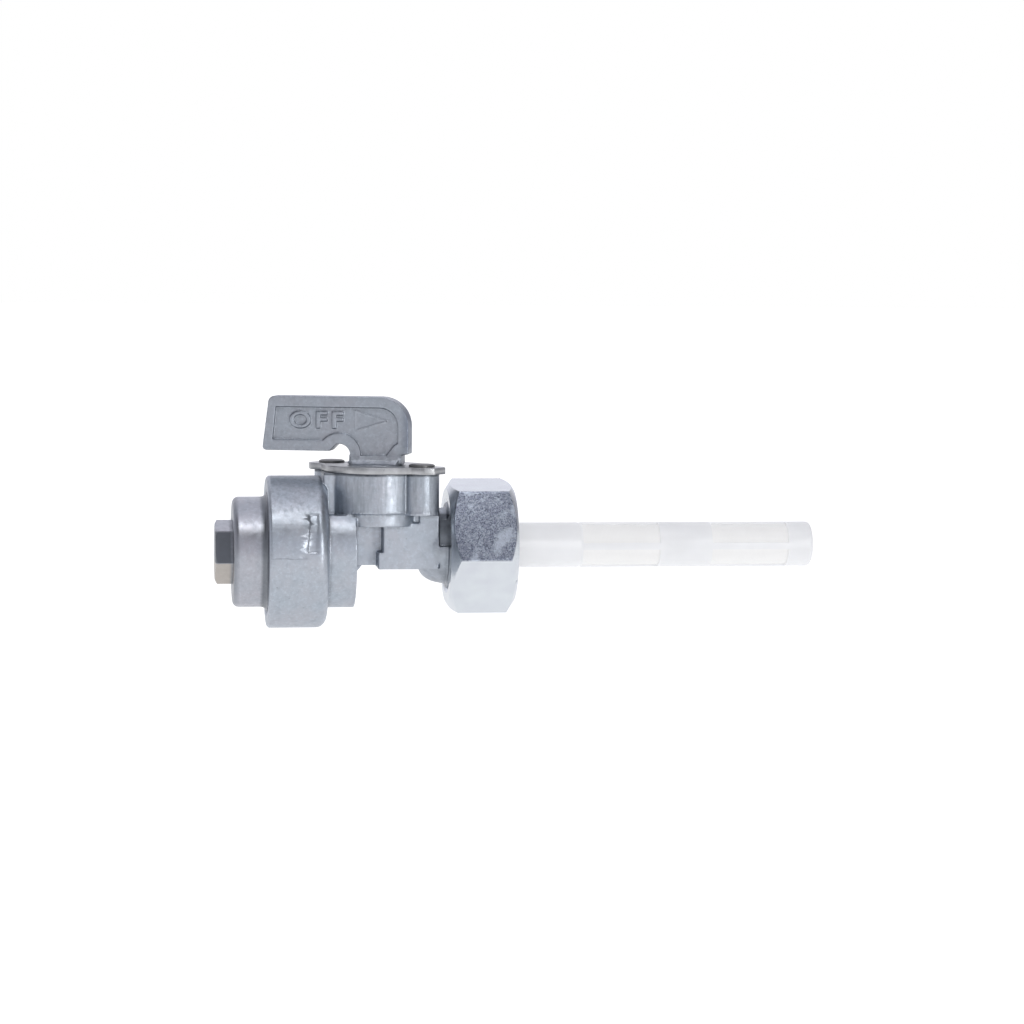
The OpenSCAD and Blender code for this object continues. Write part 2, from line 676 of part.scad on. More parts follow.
// Sediment bowl with its thread and hexagon, cast in one piece
module sediment_bowl() color("#a2a7b2") {
    r = bowl_d / 2;
    thread_r = bowl_thread_d / 2 - thread_clearance;
    flare_rise = bowl_flare_d / 2 - r;
    rim_chamfer = 0.4;
    hex_start = bowl_end_x - bowl_hex_length;
    difference() {
        union() {
            turned_x(concat([[0, bowl_end_x]],
                arc([r - bowl_rounding, bowl_end_x + bowl_rounding], bowl_rounding, -90, 0, 6),
                [for (i = [0:6]) let (a = 90 * i / 6)
                    [r + flare_rise * (1 - cos(a)), cup_x - bowl_flare * (1 - sin(a))]],
                [[thread_r - 0.4, cup_x + 0.6], [thread_r, cup_x + 1],
                    [thread_r, bowl_rim_x - rim_chamfer], [thread_r - rim_chamfer, bowl_rim_x],
                    [0, bowl_rim_x]]), bowl_drop);
            intersection() {
                hexagon_x(bowl_hex_flats, hex_start, bowl_end_x + 1, bowl_hex_angle, -bowl_drop);
                turned_x([[0, hex_start], [bowl_hex_flats / 2, hex_start],
                    [bowl_hex_flats / 2 + 1, hex_start + 0.5], [bowl_hex_flats / 2 + 1, bowl_end_x + 1],
                    [0, bowl_end_x + 1]], bowl_drop);
            }
        }
        bar_x(bowl_hollow_d / 2, bowl_end_x + bowl_end_wall, bowl_rim_x + 1, z = -bowl_drop);
    }
}

module bowl_o_ring() color("#2a2c30")
    translate([cup_floor_x - o_ring_section / 2, 0, -bowl_drop]) rotate([0, 90, 0])
        rotate_extrude() translate([o_ring_d / 2, 0]) circle(r = o_ring_section / 2 - eps);

// Frame of the small screen over the bowl's outlet port, pressed into the cup's floor
module bowl_screen_frame() color("#d9d4c0") {
    from = cup_floor_x - screen_reach;
    r = screen_d / 2;
    difference() {
        bar_x(r, from, cup_floor_x + seat_depth, z = -bowl_drop);
        bar_x(r - screen_wall, from - 1, cup_floor_x + seat_depth + 1, z = -bowl_drop);
        bar_x(r - screen_wall / 2, from + 0.4, from + 0.4 + gauze_thickness, z = -bowl_drop);
    }
}

module bowl_screen_gauze() color("#c9b26a") {
    from = cup_floor_x - screen_reach + 0.4;
    bar_x(screen_d / 2 - screen_wall / 2, from, from + gauze_thickness, z = -bowl_drop);
}

valve_body();
valve_packing();
lever();
wave_spring();
retaining_plate();
plate_rivets();
union_nut();
strainer_cage();
base_gauze();
tip_gauze();
inlet_gasket();
sediment_bowl();
bowl_o_ring();
bowl_screen_frame();
bowl_screen_gauze();
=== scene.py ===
import bpy
import bmesh
import math
from mathutils import Matrix, Vector, noise


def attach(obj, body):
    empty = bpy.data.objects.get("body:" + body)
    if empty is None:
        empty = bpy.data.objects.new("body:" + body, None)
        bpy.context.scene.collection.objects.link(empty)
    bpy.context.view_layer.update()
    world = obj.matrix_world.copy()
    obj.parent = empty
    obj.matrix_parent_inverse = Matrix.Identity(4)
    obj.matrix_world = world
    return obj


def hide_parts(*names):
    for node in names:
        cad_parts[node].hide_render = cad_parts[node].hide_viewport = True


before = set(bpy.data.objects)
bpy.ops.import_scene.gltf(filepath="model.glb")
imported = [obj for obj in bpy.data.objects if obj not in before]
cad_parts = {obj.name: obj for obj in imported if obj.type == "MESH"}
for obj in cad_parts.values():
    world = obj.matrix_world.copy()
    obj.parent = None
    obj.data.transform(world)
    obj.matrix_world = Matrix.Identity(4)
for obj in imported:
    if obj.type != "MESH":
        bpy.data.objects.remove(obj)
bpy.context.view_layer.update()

# The camera stands where the photograph was taken from: a long lens, a little to the bowl's side
# of the tap and a little above it. Places in the picture are pixels of its 1024 pixel frame.
MM = 0.001
SPINDLE_X = -20.5 * MM
VIEW_AZIMUTH = math.radians(-7.5)
VIEW_ELEVATION = math.radians(4.75)
CAMERA_DISTANCE = 536 * MM
CAMERA_ROLL = math.radians(0.45)
PIXELS_PER_METRE = 5600
SPINDLE_PIXEL = (376.0, 545.5)
FRAME_PIXELS = 1024
SENSOR_WIDTH = 36.0

camera_data = bpy.data.cameras.new("camera")
camera = bpy.data.objects.new("camera", camera_data)
bpy.context.scene.collection.objects.link(camera)
camera_data.sensor_width = SENSOR_WIDTH
camera_data.lens = PIXELS_PER_METRE * CAMERA_DISTANCE / FRAME_PIXELS * SENSOR_WIDTH
camera_data.clip_start = 0.01
camera_data.clip_end = 20
view_back = Vector((
    math.sin(VIEW_AZIMUTH) * math.cos(VIEW_ELEVATION),
    -math.cos(VIEW_AZIMUTH) * math.cos(VIEW_ELEVATION),
    math.sin(VIEW_ELEVATION),
))
view_right = Vector((math.cos(VIEW_AZIMUTH), math.sin(VIEW_AZIMUTH), 0))
view_up = view_back.cross(view_right)
spindle_right = (SPINDLE_PIXEL[0] - FRAME_PIXELS / 2) / PIXELS_PER_METRE
spindle_up = (FRAME_PIXELS / 2 - SPINDLE_PIXEL[1]) / PIXELS_PER_METRE
camera.location = (
    Vector((SPINDLE_X, 0, 0)) + view_back * CAMERA_DISTANCE
    - view_right * spindle_right - view_up * spindle_up
)
# The photographer's camera was rolled by half a degree
roll = Matrix.Rotation(CAMERA_ROLL, 4, view_back)
turn = roll @ (-view_back).to_track_quat("-Z", "Y").to_matrix().to_4x4()
camera.location = Vector((SPINDLE_X, 0, 0)) + roll @ (camera.location - Vector((SPINDLE_X, 0, 0)))
camera.rotation_euler = turn.to_euler()
bpy.context.scene.camera = camera


# The studio: a white table under a pale room that is darker on the photographer's side, with one
# long soft box high in front of the tap and a tall narrow one to its right.
TABLE_Z = -45 * MM
TABLE_HALF = 6.0
TABLE_GLOW_ON_TAP, TABLE_GLOW_SEEN = 0.66, 0.9
TABLE_GRAIN = 900


def new_finish(name):
    finish = bpy.data.materials.new(name)
    finish.use_nodes = True
    nodes = finish.node_tree.nodes
    return finish, nodes, finish.node_tree.links, nodes["Principled BSDF"]


def mesh_from(shape, name):
    mesh = bpy.data.meshes.new(name)
    shape.to_mesh(mesh)
    shape.free()
    return mesh


def piece_from(mesh, finish, smooth=True):
    mesh.materials.clear()
    mesh.materials.append(finish)
    for face in mesh.polygons:
        face.use_smooth = smooth
    piece = bpy.data.objects.new(mesh.name, mesh)
    bpy.context.scene.collection.objects.link(piece)
    return piece


table_finish, nodes, links, shader = new_finish("white_table")
shader.inputs["Base Color"].default_value = (0.5, 0.5, 0.5, 1)
shader.inputs["Roughness"].default_value = 0.9
shader.inputs["Specular IOR Level"].default_value = 0
shader.inputs["Emission Color"].default_value = (1, 1, 1, 1)
seen_ray = nodes.new("ShaderNodeLightPath")
table_glow = nodes.new("ShaderNodeMapRange")
table_glow.inputs["To Min"].default_value = TABLE_GLOW_ON_TAP
table_glow.inputs["To Max"].default_value = TABLE_GLOW_SEEN
links.new(seen_ray.outputs["Is Camera Ray"], table_glow.inputs["Value"])
links.new(table_glow.outputs["Result"], shader.inputs["Emission Strength"])
grain = nodes.new("ShaderNodeTexNoise")
grain.inputs["Scale"].default_value = TABLE_GRAIN
relief = nodes.new("ShaderNodeBump")
relief.inputs["Strength"].default_value = 0.05
links.new(grain.outputs["Fac"], relief.inputs["Height"])
links.new(relief.outputs["Normal"], shader.inputs["Normal"])
shape = bmesh.new()
bmesh.ops.create_grid(shape, x_segments=1, y_segments=1, size=TABLE_HALF)
bmesh.ops.translate(shape, verts=shape.verts, vec=(0, 0, TABLE_Z))
table = piece_from(mesh_from(shape, "table"), table_finish, smooth=False)

world = bpy.data.worlds.new("room")
bpy.context.scene.world = world
world.use_nodes = True
nodes, links = world.node_tree.nodes, world.node_tree.links
room_direction = nodes.new("ShaderNodeTexCoord")
room_parts = nodes.new("ShaderNodeSeparateXYZ")
links.new(room_direction.outputs["Generated"], room_parts.inputs[0])


def room_ramp(source, greys):
    """Grey of the room along one component of the direction, from -1 to 1."""
    ranged = nodes.new("ShaderNodeMapRange")
    ranged.inputs["From Min"].default_value = -1
    links.new(source, ranged.inputs["Value"])
    ramp = nodes.new("ShaderNodeValToRGB")
    links.new(ranged.outputs["Result"], ramp.inputs["Fac"])
    stops = ramp.color_ramp.elements
    while len(stops) < len(greys):
        stops.new(0.5)
    for stop, (place, grey) in zip(stops, greys):
        stop.position = (place + 1) / 2
        stop.color = (grey, grey, grey * 1.04, 1)
    return ramp.outputs["Color"]


front_room = room_ramp(room_parts.outputs["Z"], (
    (-1.0, 0.8), (0.0, 0.6), (0.12, 0.72), (0.35, 0.72), (0.52, 0.6), (0.62, 0.06), (0.78, 0.06),
    (0.92, 0.85), (1.0, 1.05),
))
back_room = room_ramp(room_parts.outputs["Z"], ((-1.0, 0.9), (0.0, 0.95), (0.6, 0.9), (1.0, 0.75)))
room_depth = room_ramp(room_parts.outputs["Y"], ((-1.0, 0.0), (-0.2, 0.0), (0.4, 1.0), (1.0, 1.0)))
room_sides = room_ramp(room_parts.outputs["X"], (
    (-1.0, 0.8), (-0.8, 0.55), (-0.35, 0.9), (-0.1, 1.0), (0.3, 1.0), (0.6, 0.4), (1.0, 0.45),
))
room_mix = nodes.new("ShaderNodeMix")
room_mix.data_type = "RGBA"
links.new(room_depth, room_mix.inputs["Factor"])
links.new(front_room, room_mix.inputs["A"])
links.new(back_room, room_mix.inputs["B"])
room_dim = nodes.new("ShaderNodeMix")
room_dim.data_type = "RGBA"
room_dim.blend_type = "MULTIPLY"
room_dim.inputs["Factor"].default_value = 1
links.new(room_mix.outputs["Result"], room_dim.inputs["A"])
links.new(room_sides, room_dim.inputs["B"])
room_light = nodes["Background"]
links.new(room_dim.outputs["Result"], room_light.inputs["Color"])
room_seen = nodes.new("ShaderNodeBackground")
room_seen.inputs["Color"].default_value = (1, 1, 1, 1)
seen_ray = nodes.new("ShaderNodeLightPath")
room_choice = nodes.new("ShaderNodeMixShader")
links.new(seen_ray.outputs["Is Camera Ray"], room_choice.inputs["Fac"])
links.new(room_light.outputs[0], room_choice.inputs[1])
links.new(room_seen.outputs[0], room_choice.inputs[2])
links.new(room_choice.outputs[0], nodes["World Output"].inputs["Surface"])


SOFT_BOX_DISTANCE = 0.6


def soft_box(name, azimuth, elevation, width, height, power):
    """A rectangular lamp that looks at the spindle, its place given in degrees."""
    light_data = bpy.data.lights.new(name, "AREA")
    light_data.shape = "RECTANGLE"
    light_data.size, light_data.size_y = width, height
    light_data.energy = power
    light = bpy.data.objects.new(name, light_data)
    bpy.context.scene.collection.objects.link(light)
    a, e = math.radians(azimuth), math.radians(elevation)
    towards = Vector((math.sin(a) * math.cos(e), -math.cos(a) * math.cos(e), math.sin(e)))
    light.location = Vector((SPINDLE_X, 0, 0)) + towards * SOFT_BOX_DISTANCE
    light.rotation_euler = (-towards).to_track_quat("-Z", "Y").to_euler()


soft_box("front_box", -5, 58, 0.5, 0.11, 0.72)
soft_box("right_box", 31, 4, 0.07, 0.45, 0.95)
bpy.context.scene.view_settings.view_transform = "Standard"
bpy.context.scene.view_settings.look = "None"


# Valve body: one zinc die casting with the bowl's cup, the port boss, the valve chamber, the
# block round the inlet passage, the spigot and the hose outlet. The die leaves every edge a little
# round and the skin grey and satin, with a parting line, rough flash and the scars of trimming.
ZINC_COLOUR = (0.43, 0.475, 0.53)
ZINC_TINT = (0.455, 0.475, 0.52)


def part_of(nodes, links, axis):
    """One component of the piece's own coordinates, in metres."""
    where = nodes.new("ShaderNodeTexCoord")
    parts = nodes.new("ShaderNodeSeparateXYZ")
    links.new(where.outputs["Object"], parts.inputs[0])
    return parts.outputs[axis]


def grain_noise(nodes, links, per_mm, detail=4.0, roughness=0.5, stretch=(1, 1, 1)):
    """A noise fixed to the piece, about 0.5 on average. A small stretch draws it out on that axis."""
    where = nodes.new("ShaderNodeTexCoord")
    mapping = nodes.new("ShaderNodeMapping")
    mapping.inputs["Scale"].default_value = stretch
    cloud = nodes.new("ShaderNodeTexNoise")
    cloud.inputs["Scale"].default_value = per_mm / MM
    cloud.inputs["Detail"].default_value = detail
    cloud.inputs["Roughness"].default_value = roughness
    links.new(where.outputs["Object"], mapping.inputs["Vector"])
    links.new(mapping.outputs["Vector"], cloud.inputs["Vector"])
    return cloud.outputs["Fac"]


def spread(nodes, links, source, low, high, from_low=0.3, from_high=0.7):
    """The source's range, usually that of a noise, spread over low to high and cut off there."""
    ranged = nodes.new("ShaderNodeMapRange")
    ranged.inputs["From Min"].default_value = from_low
    ranged.inputs["From Max"].default_value = from_high
    ranged.inputs["To Min"].default_value = low
    ranged.inputs["To Max"].default_value = high
    links.new(source, ranged.inputs["Value"])
    return ranged.outputs["Result"]


def maths(nodes, links, operation, first, second=0):
    step = nodes.new("ShaderNodeMath")
    step.operation = operation
    for socket, value in zip(step.inputs, (first, second)):
        if isinstance(value, (int, float)):
            socket.default_value = value
        else:
            links.new(value, socket)
    return step.outputs[0]


def product(nodes, links, first, second):
    return maths(nodes, links, "MULTIPLY", first, second)


def near(nodes, links, source, centre, half_width):
    """1 at the centre, fading to 0 at half a width to each side."""
    away = maths(nodes, links, "ABSOLUTE", maths(nodes, links, "SUBTRACT", source, centre))
    return spread(nodes, links, away, 1, 0, 0, half_width)


def mixed(nodes, links, factor, first, second):
    mix = nodes.new("ShaderNodeMix")
    mix.data_type = "RGBA"
    links.new(factor, mix.inputs["Factor"])
    for socket, colour in (("A", first), ("B", second)):
        if isinstance(colour, tuple):
            mix.inputs[socket].default_value = (*colour, 1)
        else:
            links.new(colour, mix.inputs[socket])
    return mix.outputs["Result"]


def relief_of(nodes, links, shader, layers):
    """Bumps one over the other, each given as its height, strength and depth in metres."""
    normal = None
    for height, strength, depth in layers:
        bump = nodes.new("ShaderNodeBump")
        bump.inputs["Strength"].default_value = strength
        bump.inputs["Distance"].default_value = depth
        links.new(height, bump.inputs["Height"])
        if normal is not None:
            links.new(normal, bump.inputs["Normal"])
        normal = bump.outputs["Normal"]
    links.new(normal, shader.inputs["Normal"])


CORNER_REACH = 0.9 * MM


def corner_shade_and_grime(nodes, links):
    """1 deep in an inner corner of the piece, 0 on open faces. It marks where shade, with some grime, is
    painted.
    """
    shelter = nodes.new("ShaderNodeAmbientOcclusion")
    shelter.samples = 6
    shelter.only_local = True
    shelter.inputs["Distance"].default_value = CORNER_REACH
    return spread(nodes, links, shelter.outputs["AO"], 1, 0, 0.45, 0.95)


def shaded(colour, share):
    return tuple(share * part for part in colour)


def cast_zinc(name, colour, tint, roughness, marks=None):
    """Grey satin skin of a zinc die casting, with painted shade in its inner corners. marks adds a piece's
    own lines and stains, and painted shade.
    """
    finish, nodes, links, shader = new_finish(name)
    shader.inputs["Metallic"].default_value = 1.0
    cloud = grain_noise(nodes, links, 0.22, 3)
    blotch = grain_noise(nodes, links, 0.9, 5)
    skin = grain_noise(nodes, links, 5.0, 4, 0.6)
    pores = grain_noise(nodes, links, 2.2, 2)
    base = mixed(nodes, links, spread(nodes, links, cloud, 0, 1), colour, tint)
    base = mixed(nodes, links, spread(nodes, links, blotch, 0, 0.5, 0.5, 0.75), base, shaded(colour, 0.8))
    base = mixed(nodes, links, spread(nodes, links, pores, 0, 0.7, 0.73, 0.79), base, shaded(colour, 0.45))
    # Painted shade in the inner corners, found by ambient occlusion, standing also for some grime there.
    corners = product(nodes, links, corner_shade_and_grime(nodes, links), 0.8)
    base = mixed(nodes, links, corners, base, shaded(colour, 0.22))
    frost = grain_noise(nodes, links, 1.7, 6, 0.75)
    base = mixed(nodes, links, spread(nodes, links, frost, 0, 0.45, 0.5, 0.62), base, shaded(colour, 1.3))
    layers = [(cloud, 0.35, 0.2 * MM), (frost, 0.25, 0.04 * MM), (skin, 0.4, 0.012 * MM)]
    if marks:
        base, layers = marks(nodes, links, base, layers)
    links.new(base, shader.inputs["Base Color"])
    links.new(spread(nodes, links, blotch, roughness - 0.05, roughness + 0.09), shader.inputs["Roughness"])
    relief_of(nodes, links, shader, layers)
    return finish


PARTING_Z = -1.0 * MM
PARTING_WANDER = 0.12 * MM
CUP_MIDDLE_X, CUP_HALF = -37 * MM, 4.4 * MM
POCKET_LOW, POCKET_HIGH = 0.3 * MM, 5.8 * MM
POCKET_X, POCKET_HALF = -8.4 * MM, 1.5 * MM
POCKET_FRONT, POCKET_BACK = -6.1 * MM, -5.3 * MM
POCKET_SHADE_COLOUR = (0.03, 0.033, 0.042)
PLATE_SHADOW_FROM, PLATE_SHADOW_TO = 12.8 * MM, 13 * MM
NUT_SHADE_FROM, NUT_SHADE_TO = -13.5 * MM, -8 * MM
CHAMBER_FOOT, CHAMBER_WALL = 6.2 * MM, 6.8 * MM


def body_marks(nodes, links, base, layers):
    """The cup's parting line, painted shade in the pocket and beside the nut, a painted shadow under the
    plate, draw marks.
    """
    x, z = part_of(nodes, links, "X"), part_of(nodes, links, "Z")
    wander = spread(nodes, links, grain_noise(nodes, links, 0.4, 3), -PARTING_WANDER, PARTING_WANDER)
    line = near(nodes, links, maths(nodes, links, "ADD", z, wander), PARTING_Z, 0.11 * MM)
    patchy = spread(nodes, links, grain_noise(nodes, links, 0.5, 2), 0, 1, 0.42, 0.6)
    on_cup = near(nodes, links, x, CUP_MIDDLE_X, CUP_HALF)
    line = product(nodes, links, line, product(nodes, links, patchy, on_cup))
    base = mixed(nodes, links, product(nodes, links, line, 0.8), base, shaded(ZINC_COLOUR, 0.35))
    # Painted shade deep in the pocket between the block and the nut.
    pocket = near(nodes, links, x, POCKET_X, POCKET_HALF)
    pocket = spread(nodes, links, pocket, 0, 1, 0, 0.25)
    rise = spread(nodes, links, z, 0, 1, POCKET_LOW - 0.1 * MM, POCKET_LOW + 3.5 * MM)
    below_top = spread(nodes, links, z, 1, 0, POCKET_HIGH, POCKET_HIGH + 0.3 * MM)
    depth = spread(nodes, links, part_of(nodes, links, "Y"), 0, 1, POCKET_FRONT, POCKET_BACK)
    pocket_shade = product(nodes, links, pocket, product(nodes, links, rise, depth))
    pocket_shade = product(nodes, links, pocket_shade, below_top)
    base = mixed(nodes, links, product(nodes, links, pocket_shade, 0.9), base, POCKET_SHADE_COLOUR)
    # Painted shadow in the gap under the plate, broken up by noise.
    plate_shadow = product(nodes, links, spread(nodes, links, z, 0, 0.95, PLATE_SHADOW_FROM, PLATE_SHADOW_TO), spread(
        nodes, links, grain_noise(nodes, links, 0.5, 3), 0.6, 1))
    base = mixed(nodes, links, plate_shadow, base, shaded(ZINC_COLOUR, 0.2))
    # Painted shade growing towards the nut, broken up by noise.
    patchy_darkening = spread(nodes, links, grain_noise(nodes, links, 0.7, 4), 0.25, 0.75)
    patchy_darkening = product(nodes, links, patchy_darkening, spread(nodes, links, x, 0, 1, NUT_SHADE_FROM, NUT_SHADE_TO))
    base = mixed(nodes, links, patchy_darkening, base, shaded(ZINC_COLOUR, 0.42))
    draw = grain_noise(nodes, links, 1.5, 4, 0.6, (1, 1, 0.12))
    on_chamber = spread(nodes, links, z, 0, 1, CHAMBER_FOOT, CHAMBER_WALL)
    streaks = product(nodes, links, spread(nodes, links, draw, 0, 0.5, 0.45, 0.65), on_chamber)
    base = mixed(nodes, links, streaks, base, shaded(ZINC_COLOUR, 0.6))
    draw_height = product(nodes, links, draw, on_chamber)
    return base, layers + [(line, 0.6, 0.06 * MM), (draw_height, 0.5, 0.08 * MM)]


def merged_copy(node_name):
    shape = bmesh.new()
    shape.from_mesh(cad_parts[node_name].data)
    bmesh.ops.remove_doubles(shape, verts=shape.verts, dist=0.001 * MM)
    return shape


def modified(mesh, modifiers):
    """The mesh with modifiers applied, each given as its kind and its settings."""
    name = mesh.name
    carrier = bpy.data.objects.new("carrier", mesh)
    bpy.context.scene.collection.objects.link(carrier)
    for kind, settings in modifiers:
        modifier = carrier.modifiers.new(kind, kind)
        for key, value in settings.items():
            setattr(modifier, key, value)
    graph = bpy.context.evaluated_depsgraph_get()
    result = bpy.data.meshes.new_from_object(carrier.evaluated_get(graph))
    bpy.data.objects.remove(carrier)
    bpy.data.meshes.remove(mesh)
    result.name = name
    return result


SMOOTHING_ROUNDS = 3


def worn_casting(shape, name, voxel, kept, rise_at):
    """A casting's mesh with the die's small radii on every edge. rise_at lifts or sinks its skin."""
    mesh = modified(mesh_from(shape, name), (
        ("REMESH", {"mode": "VOXEL", "voxel_size": voxel}),
        ("SMOOTH", {"factor": 0.5, "iterations": SMOOTHING_ROUNDS}),
    ))
    moved = [(vertex, rise_at(vertex.co)) for vertex in mesh.vertices]
    moved = [(vertex, vertex.normal * rise) for vertex, rise in moved if rise]
    for vertex, step in moved:
        vertex.co += step
    return modified(mesh, (("DECIMATE", {"ratio": kept}),))


def eased(value, low, high):
    share = min(1, max(0, (value - low) / (high - low)))
    return share * share * (3 - 2 * share)


CUP_FRONT_Y = -9 * MM
TRIM_EDGE_X, TRIM_END_X = -33.5 * MM, -31.2 * MM
TRIM_LOW, TRIM_HIGH = -0.2 * MM, 6.5 * MM
TRIM_DEPTH = 0.24 * MM
TEAR, TEAR_LENGTH = 0.22 * MM, 1.1 * MM
TRIM_LEAN = 0.35 * MM


def trim_scar(place):
    """Depth of the torn step where the casting was trimmed, on the cup's front."""
    if place.y > CUP_FRONT_Y or not TRIM_LOW < place.z < TRIM_HIGH:
        return 0
    tear = TEAR * noise.noise(Vector((0, 0, place.z / TEAR_LENGTH)))
    edge = TRIM_EDGE_X + tear + TRIM_LEAN * eased(place.z, 1 * MM, 5 * MM)
    inside = eased(place.x, edge, edge + 0.2 * MM) * (1 - eased(place.x, edge + 1.2 * MM, TRIM_END_X))
    return TRIM_DEPTH * inside * eased(place.z, TRIM_LOW, TRIM_LOW + 0.4 * MM)


GOUGE_X, GOUGE_Z = -34.2 * MM, -0.7 * MM
GOUGE_DEPTH, GOUGE_RADIUS, GOUGE_GRAIN = 0.13 * MM, 0.75 * MM, 0.25 * MM
GOUGE_FLATNESS = 1.6


def gouge(place):
    """Depth of the small gouge at the foot of the torn step."""
    if place.y > CUP_FRONT_Y:
        return 0
    away = Vector((place.x - GOUGE_X, (place.z - GOUGE_Z) * GOUGE_FLATNESS)).length
    grit = 0.6 + noise.noise(place / GOUGE_GRAIN)
    return GOUGE_DEPTH * (1 - eased(away, 0.2 * MM, GOUGE_RADIUS)) * grit


FLASH_Z, FLASH_RISE = 6.3 * MM, 0.13 * MM
FLASH_FROM, FLASH_TO = -29 * MM, -9.9 * MM
BOSS_TOP_Z, BOSS_RISE = 5.8 * MM, 0.16 * MM
BOSS_FROM, BOSS_TO = -29.8 * MM, -24.4 * MM
FLASH_BACK_Y = -2 * MM
FLASH_GRAIN = 0.45 * MM


def rough_flash(place):
    """Rough metal left along the die's edge under the chamber and on top of the port boss."""
    if place.y > FLASH_BACK_Y:
        return 0
    grit = max(0, noise.noise(place / FLASH_GRAIN) + 0.35)
    if FLASH_FROM < place.x < FLASH_TO:
        return FLASH_RISE * grit * (1 - eased(abs(place.z - FLASH_Z), 0.1 * MM, 0.45 * MM))
    if BOSS_FROM < place.x < BOSS_TO:
        return BOSS_RISE * grit * (1 - eased(abs(place.z - BOSS_TOP_Z), 0.2 * MM, 0.8 * MM))
    return 0


def body_rise(place):
    """How far the body's front skin stands out of the drawn shape, or lies under it."""
    return rough_flash(place) - trim_scar(place) - gouge(place)


def metal_left(shape, low, high):
    """Metal that the die leaves in a tight corner, as a small block run into the casting."""
    corners = [Vector(place) * MM for place in (low, high)]
    block = bmesh.ops.create_cube(shape, size=1)["verts"]
    bmesh.ops.scale(shape, verts=block, vec=corners[1] - corners[0])
    bmesh.ops.translate(shape, verts=block, vec=(corners[0] + corners[1]) / 2)


STEP_CORNER_LOW, STEP_CORNER_HIGH = (-14.8, -5.7, 4.1), (-12.5, -3, 6.4)
BODY_VOXEL, BODY_KEPT = 0.16 * MM, 0.3
body_shape = merged_copy("valve_body")
metal_left(body_shape, STEP_CORNER_LOW, STEP_CORNER_HIGH)
body_mesh = worn_casting(body_shape, "body_casting", BODY_VOXEL, BODY_KEPT, body_rise)
body_finish = cast_zinc("body_zinc", ZINC_COLOUR, ZINC_TINT, 0.37, body_marks)
body = piece_from(body_mesh, body_finish)
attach(body, "tap_body")
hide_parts("valve_body")

# The thread in the cup's mouth is cut after casting, one right-hand turn after another. It rides
# with the casting as a part of the same piece.
CUP_AXIS_Z = -1.0 * MM
CUP_THREAD_X = -39.2 * MM
CUP_THREAD_TURNS = 4.2
CUP_BORE_R, CUP_CREST_R = 11.0 * MM, 10.47 * MM
CUP_RIDGE_HALF = 0.42 * MM
THREAD_PITCH = 1.5 * MM
THREAD_STEPS = 48
CREST_HALF = 0.1 * MM
RIDGE_FOOT = 0.15 * MM


def thread_ridge(start, turns, root_r, crest_r, root_half, axis_z):
    """One helical ridge round the X axis. A crest smaller than the root points inwards."""
    ridge = bmesh.new()
    foot_r = root_r + (RIDGE_FOOT if crest_r < root_r else -RIDGE_FOOT)
    corners = [
        (-root_half, foot_r), (-root_half, root_r), (-CREST_HALF, crest_r),
        (CREST_HALF, crest_r), (root_half, root_r), (root_half, foot_r),
    ]
    loop = [ridge.verts.new((start + along, 0, radius)) for along, radius in corners]
    ridge.faces.new(loop)
    bmesh.ops.spin(
        ridge, geom=ridge.verts[:] + ridge.edges[:] + ridge.faces[:], cent=(0, 0, 0), axis=(1, 0, 0),
        dvec=(THREAD_PITCH / THREAD_STEPS, 0, 0), angle=turns * math.tau,
        steps=round(turns * THREAD_STEPS), use_duplicate=False,
    )
    bmesh.ops.holes_fill(ridge, edges=[edge for edge in ridge.edges if edge.is_boundary], sides=8)
    bmesh.ops.translate(ridge, verts=ridge.verts, vec=(0, 0, axis_z))
    bmesh.ops.recalc_face_normals(ridge, faces=ridge.faces)
    return ridge


def joined(mesh, shape):
    """The mesh with one more shape in it, as parts of one piece."""
    both = bmesh.new()
    both.from_mesh(mesh)
    extra = mesh_from(shape, "extra")
    both.from_mesh(extra)
    bpy.data.meshes.remove(extra)
    both.to_mesh(mesh)
    both.free()
    for face in mesh.polygons:
        face.use_smooth = True


cup_thread = thread_ridge(
    CUP_THREAD_X, CUP_THREAD_TURNS, CUP_BORE_R, CUP_CREST_R, CUP_RIDGE_HALF, CUP_AXIS_Z)
joined(body.data, cup_thread)


# Valve packing: a rubber disc with four holes, punched from sheet, on the chamber's floor. The
# rotor is pressed on it and slides over it as the lever turns.
def rubber_finish(name, colour, roughness):
    finish, nodes, links, shader = new_finish(name)
    bloom = grain_noise(nodes, links, 0.8, 4)
    grit = grain_noise(nodes, links, 9.0, 2)
    base = mixed(nodes, links, spread(nodes, links, bloom, 0, 1), colour, shaded(colour, 1.8))
    links.new(base, shader.inputs["Base Color"])
    shader.inputs["Roughness"].default_value = roughness
    relief_of(nodes, links, shader, ((grit, 0.3, 0.01 * MM),))
    return finish


def dressed(node_name, finish, body_name, edge=0.0):
    """The exact mesh of one node in its finish, its sharp edges eased by a bevel of that width."""
    mesh = mesh_from(merged_copy(node_name), node_name + "_skin")
    if edge:
        mesh = modified(mesh, (("BEVEL", {
            "width": edge, "segments": 3, "limit_method": "ANGLE", "angle_limit": math.radians(28),
        }),))
    piece = piece_from(mesh, finish)
    mesh.set_sharp_from_angle(angle=math.radians(40))
    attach(piece, body_name)
    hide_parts(node_name)
    return piece


packing_rubber = rubber_finish("packing_rubber", (0.022, 0.022, 0.024), 0.55)
dressed("valve_packing", packing_rubber, "tap_body", 0.08 * MM)


